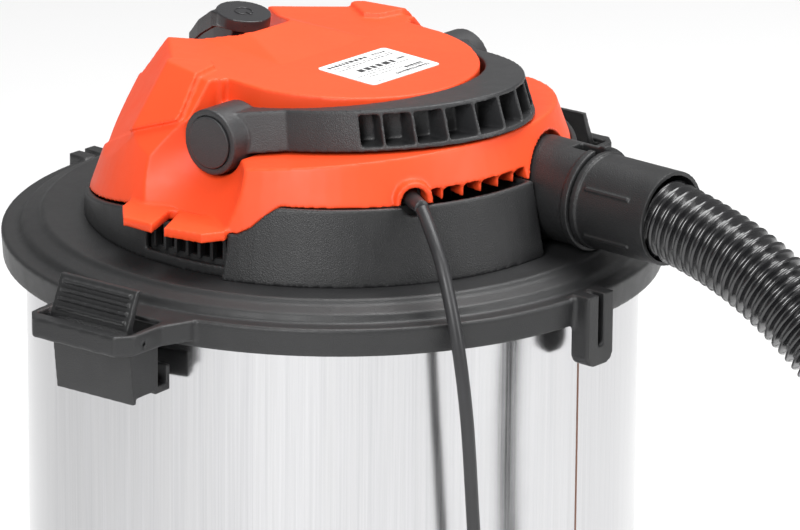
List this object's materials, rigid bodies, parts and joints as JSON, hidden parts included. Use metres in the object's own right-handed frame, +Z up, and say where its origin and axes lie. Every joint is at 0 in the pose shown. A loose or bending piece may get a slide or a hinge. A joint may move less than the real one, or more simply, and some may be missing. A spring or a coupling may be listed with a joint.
{
  "type": "shop vacuum",
  "caption": "Wet and dry shop vacuum: steel drum on casters, latched motor head with a fold-up handle, rocker switch, corrugated suction hose and mains lead.",
  "frame": {"origin": "on the floor, on the axis of the drum", "axes": "+Z up along the drum axis, +X towards the hose port side, latches near -Y and +Y"},
  "size_m": [0.7393, 0.6136, 0.5349],
  "materials": {
    "orange_plastic": "satin moulded orange plastic",
    "black_plastic": "fine-textured black plastic",
    "steel_drum": "vertically brushed stainless steel",
    "hose_black": "glossy black corrugated plastic",
    "cord_black": "satin black cable jacket",
    "label_white": "printed white label",
    "rocker_black": "satin black switch",
    "wheel_grey": "grey-black wheel tread",
    "zinc_steel": "zinc-plated steel",
    "screw_steel": "plain steel screws",
    "seal_rubber": "black rubber seal",
    "foam_dark": "open-cell filter foam",
    "white_plastic": "plain white moulding",
    "copper": "varnished copper winding",
    "carbon": "carbon brush",
    "iron": "stacked laminations",
    "alloy": "cast and pressed aluminium",
    "plug_pin": "nickelled brass"
  },
  "bodies": {
    "drum_body": {"drum": "steel_drum", "base_tray": "black_plastic", "base_screws": "screw_steel"},
    "head": {"lid": "black_plastic", "lid_gasket": "seal_rubber", "motor_pod": "black_plastic", "exhaust_grille_near": "black_plastic", "exhaust_grille_far": "black_plastic", "top_cover": "orange_plastic", "cover_screws": "screw_steel", "rating_label": "label_white", "switch_module": "white_plastic", "rocker_pin": "zinc_steel", "handle_pins": "zinc_steel", "fan_housing": "alloy", "motor_field": "iron", "motor_bearings": "zinc_steel", "motor_bracket": "alloy", "bearing_plate": "alloy", "carbon_brushes": "carbon", "brush_holders": "plug_pin", "filter_cage": "black_plastic", "foam_sleeve": "foam_dark", "sleeve_band": "seal_rubber", "intake_seal": "seal_rubber", "suction_port": "black_plastic", "inlet_elbow": "black_plastic", "latch_pin_near": "zinc_steel", "latch_pin_far": "zinc_steel", "strain_relief": "cord_black", "power_cord": "cord_black", "cord_coil": "cord_black", "cord_tie": "seal_rubber", "mains_plug": "cord_black", "suction_hose": "hose_black", "hose_end": "black_plastic"},
    "handle": {"handle": "black_plastic", "handle_caps": "black_plastic"},
    "latch_near": {"latch_near": "black_plastic"},
    "latch_far": {"latch_far": "black_plastic"},
    "switch": {"power_rocker": "rocker_black"},
    "cuff": {"hose_cuff": "black_plastic"},
    "rotor": {"motor_shaft": "zinc_steel", "armature": "iron", "commutator": "copper", "turbine": "alloy"},
    "float": {"float_ball": "white_plastic"},
    "caster_1": {"caster_fork_1": "zinc_steel", "caster_axle_1": "screw_steel"},
    "wheel_1": {"caster_wheel_1": "wheel_grey"},
    "caster_2": {"caster_fork_2": "zinc_steel", "caster_axle_2": "screw_steel"},
    "wheel_2": {"caster_wheel_2": "wheel_grey"},
    "caster_3": {"caster_fork_3": "zinc_steel", "caster_axle_3": "screw_steel"},
    "wheel_3": {"caster_wheel_3": "wheel_grey"},
    "caster_4": {"caster_fork_4": "zinc_steel", "caster_axle_4": "screw_steel"},
    "wheel_4": {"caster_wheel_4": "wheel_grey"}
  },
  "joints": [
    {"name": "head_lift", "type": "slide", "parent": "drum_body", "child": "head", "axis": [0, 0, 1], "range_m": [0, 0.24]},
    {"name": "handle_fold", "type": "hinge", "parent": "head", "child": "handle", "pos_m": [0.0045, 0, 0.497], "axis": [0, -1, 0], "range_deg": [0, 78]},
    {"name": "latch_near_open", "type": "hinge", "parent": "head", "child": "latch_near", "pos_m": [0.01605, -0.20387, 0.4206], "axis": [-0.9969, -0.0785, 0], "range_deg": [0, 20], "stiffness_Nm_per_rad": 1},
    {"name": "latch_far_open", "type": "hinge", "parent": "head", "child": "latch_far", "pos_m": [-0.01605, 0.20387, 0.4206], "axis": [0.9969, 0.0785, 0], "range_deg": [0, 20], "stiffness_Nm_per_rad": 1},
    {"name": "switch_rock", "type": "hinge", "parent": "head", "child": "switch", "pos_m": [-0.0621, 0, 0.51133], "axis": [0, -1, 0], "range_deg": [0, 8], "stiffness_Nm_per_rad": 0.6},
    {"name": "cuff_twist", "type": "hinge", "parent": "head", "child": "cuff", "pos_m": [0.13, 0.04, 0.464], "axis": [1, 0, 0], "range_deg": [0, 35]},
    {"name": "rotor_spin", "type": "hinge", "parent": "head", "child": "rotor", "pos_m": [0, 0, 0.472], "axis": [0, 0, 1], "continuous": true},
    {"name": "float_rise", "type": "slide", "parent": "head", "child": "float", "axis": [0, 0, 1], "range_m": [0, 0.044]},
    {"name": "caster_1_swivel", "type": "hinge", "parent": "drum_body", "child": "caster_1", "pos_m": [0.12445, 0.12445, 0.06], "axis": [0, 0, 1], "continuous": true},
    {"name": "wheel_1_roll", "type": "hinge", "parent": "caster_1", "child": "wheel_1", "pos_m": [0.13576, 0.13576, 0.0225], "axis": [-0.7071, 0.7071, 0], "continuous": true},
    {"name": "caster_2_swivel", "type": "hinge", "parent": "drum_body", "child": "caster_2", "pos_m": [-0.12445, 0.12445, 0.06], "axis": [0, 0, 1], "continuous": true},
    {"name": "wheel_2_roll", "type": "hinge", "parent": "caster_2", "child": "wheel_2", "pos_m": [-0.13576, 0.13576, 0.0225], "axis": [-0.7071, -0.7071, 0], "continuous": true},
    {"name": "caster_3_swivel", "type": "hinge", "parent": "drum_body", "child": "caster_3", "pos_m": [-0.12445, -0.12445, 0.06], "axis": [0, 0, 1], "continuous": true},
    {"name": "wheel_3_roll", "type": "hinge", "parent": "caster_3", "child": "wheel_3", "pos_m": [-0.13576, -0.13576, 0.0225], "axis": [0.7071, -0.7071, 0], "continuous": true},
    {"name": "caster_4_swivel", "type": "hinge", "parent": "drum_body", "child": "caster_4", "pos_m": [0.12445, -0.12445, 0.06], "axis": [0, 0, 1], "continuous": true},
    {"name": "wheel_4_roll", "type": "hinge", "parent": "caster_4", "child": "wheel_4", "pos_m": [0.13576, -0.13576, 0.0225], "axis": [0.7071, 0.7071, 0], "continuous": true}
  ]
}
